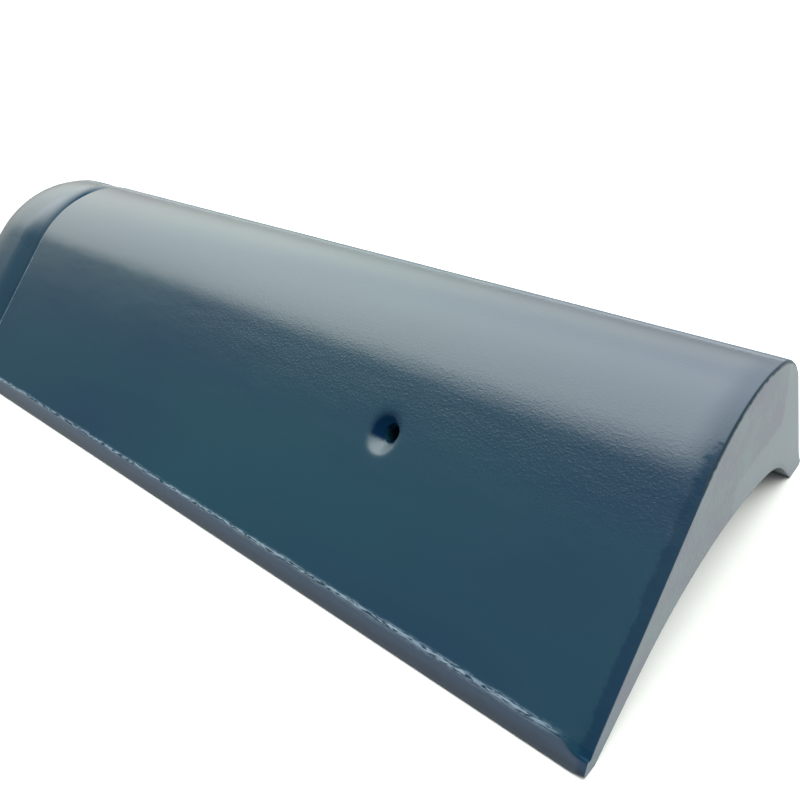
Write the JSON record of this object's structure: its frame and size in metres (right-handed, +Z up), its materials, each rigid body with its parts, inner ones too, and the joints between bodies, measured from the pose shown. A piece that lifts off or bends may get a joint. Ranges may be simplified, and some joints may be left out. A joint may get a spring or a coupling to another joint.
{
  "type": "verge tile",
  "caption": "Long pressed roof edge tile with a sloping wing, rounded crown, short steep leg, shallow arched underside, grooved head lap and a dimpled nail hole.",
  "frame": {"origin": "middle of the tile's footprint, on the floor it lies on", "axes": "+X along the tile towards its tail end, +Y across it towards the short steep leg, +Z up through the crown"},
  "size_m": [0.42, 0.1444, 0.0653],
  "materials": {
    "painted_concrete": "dark steel blue semi-gloss paint on pressed concrete, cut tail end pale grey"
  },
  "bodies": {
    "root": {"tile": "painted_concrete"}
  },
  "joints": []
}
